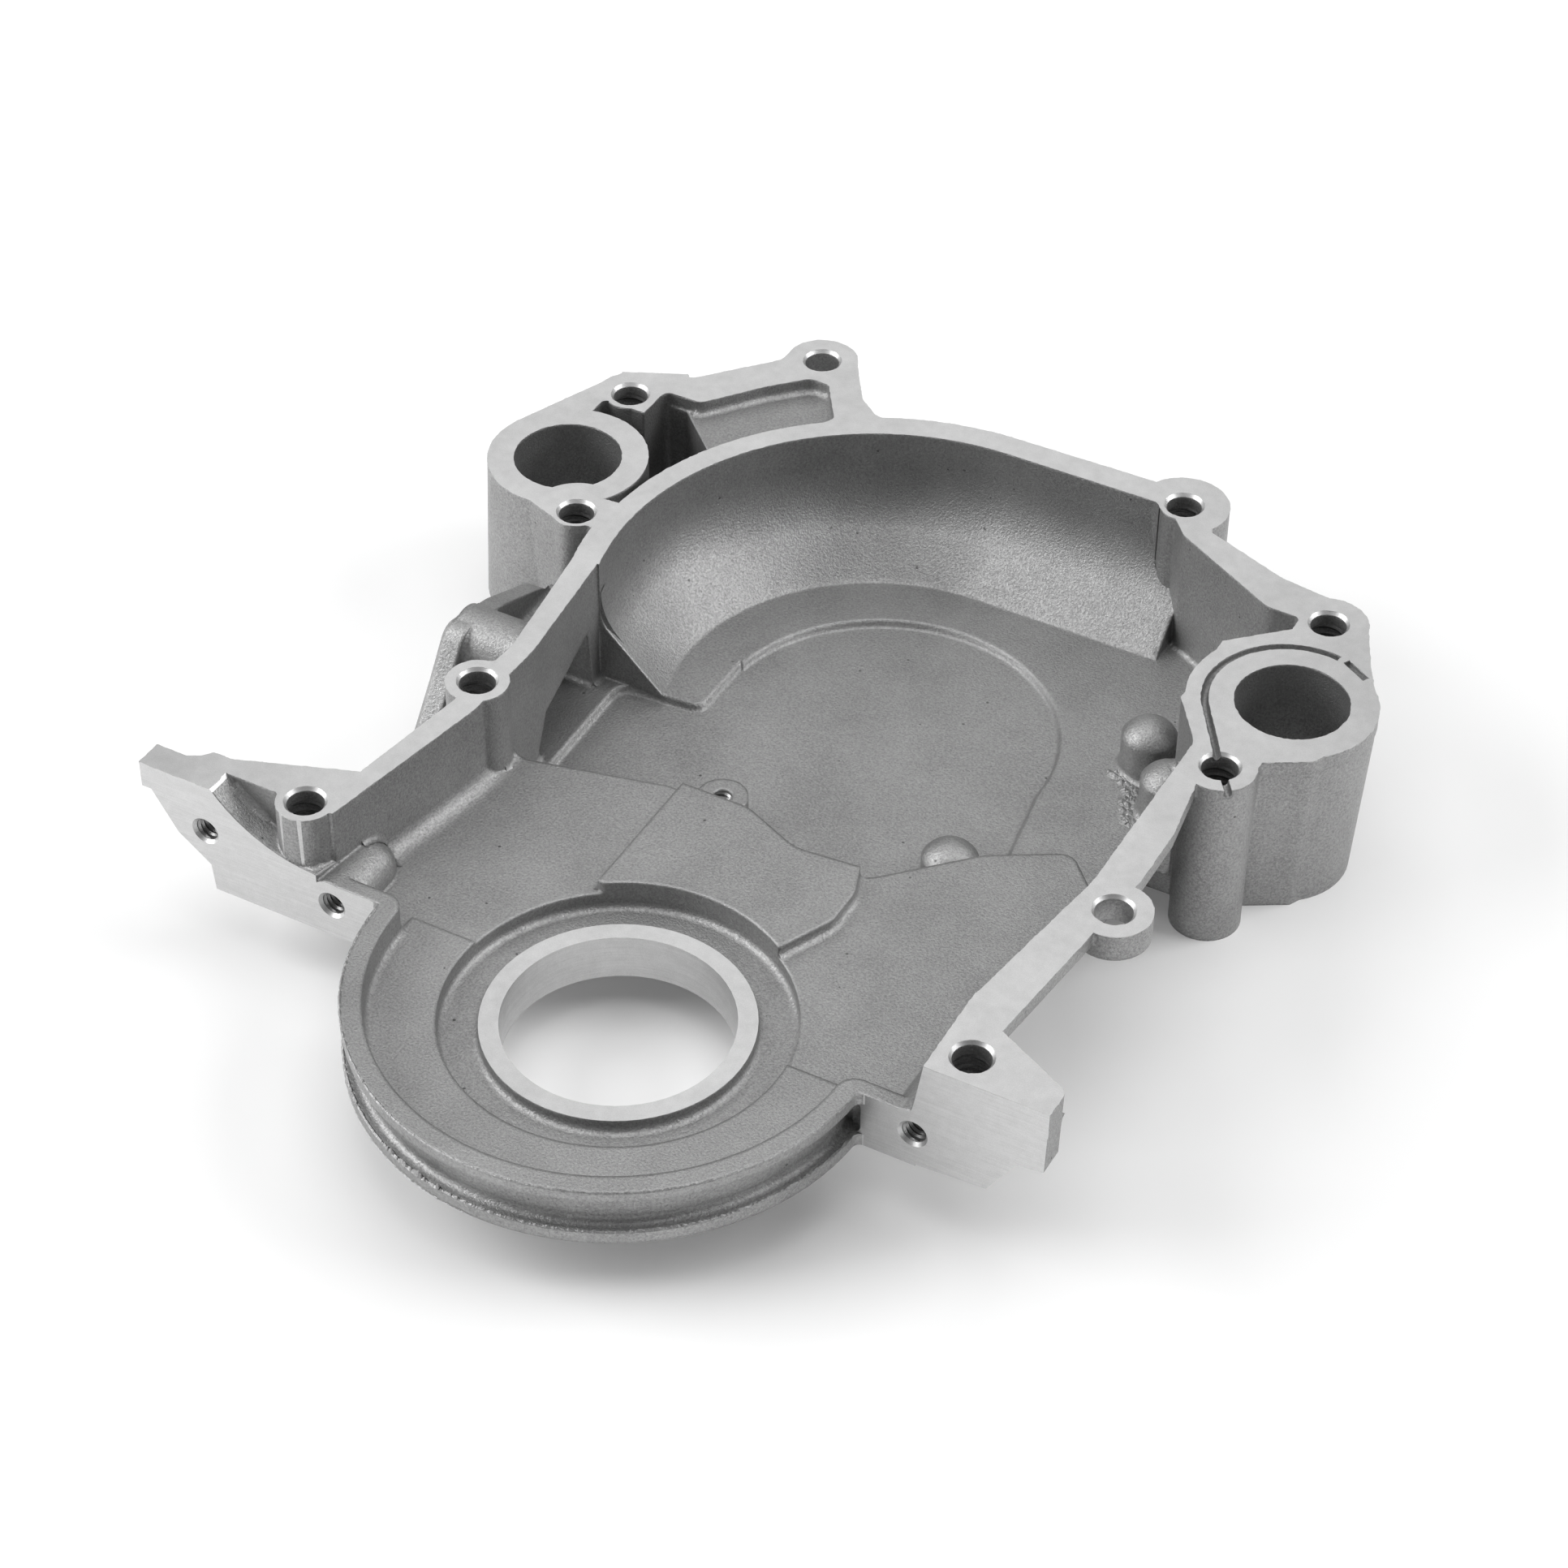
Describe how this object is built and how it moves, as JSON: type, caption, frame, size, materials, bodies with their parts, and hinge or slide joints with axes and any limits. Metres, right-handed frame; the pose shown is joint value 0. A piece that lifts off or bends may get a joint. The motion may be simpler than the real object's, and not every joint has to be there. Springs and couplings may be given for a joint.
{
  "type": "timing cover",
  "caption": "Cast aluminium timing cover with a chain case, crankshaft seal bore, half-round pan seal groove and two water ports, lying with its engine side up.",
  "frame": {"origin": "on the crankshaft axis, in the engine-side face of the seal ring", "axes": "+X to the right and +Y from the crankshaft towards the camshaft as seen from the engine, +Z from the cover towards the engine"},
  "size_m": [0.2735, 0.322, 0.053],
  "materials": {
    "cast_aluminium": "as cast, matt and finely grained, with the joint faces machined bright"
  },
  "bodies": {
    "root": {"timing_cover": "cast_aluminium"}
  },
  "joints": []
}
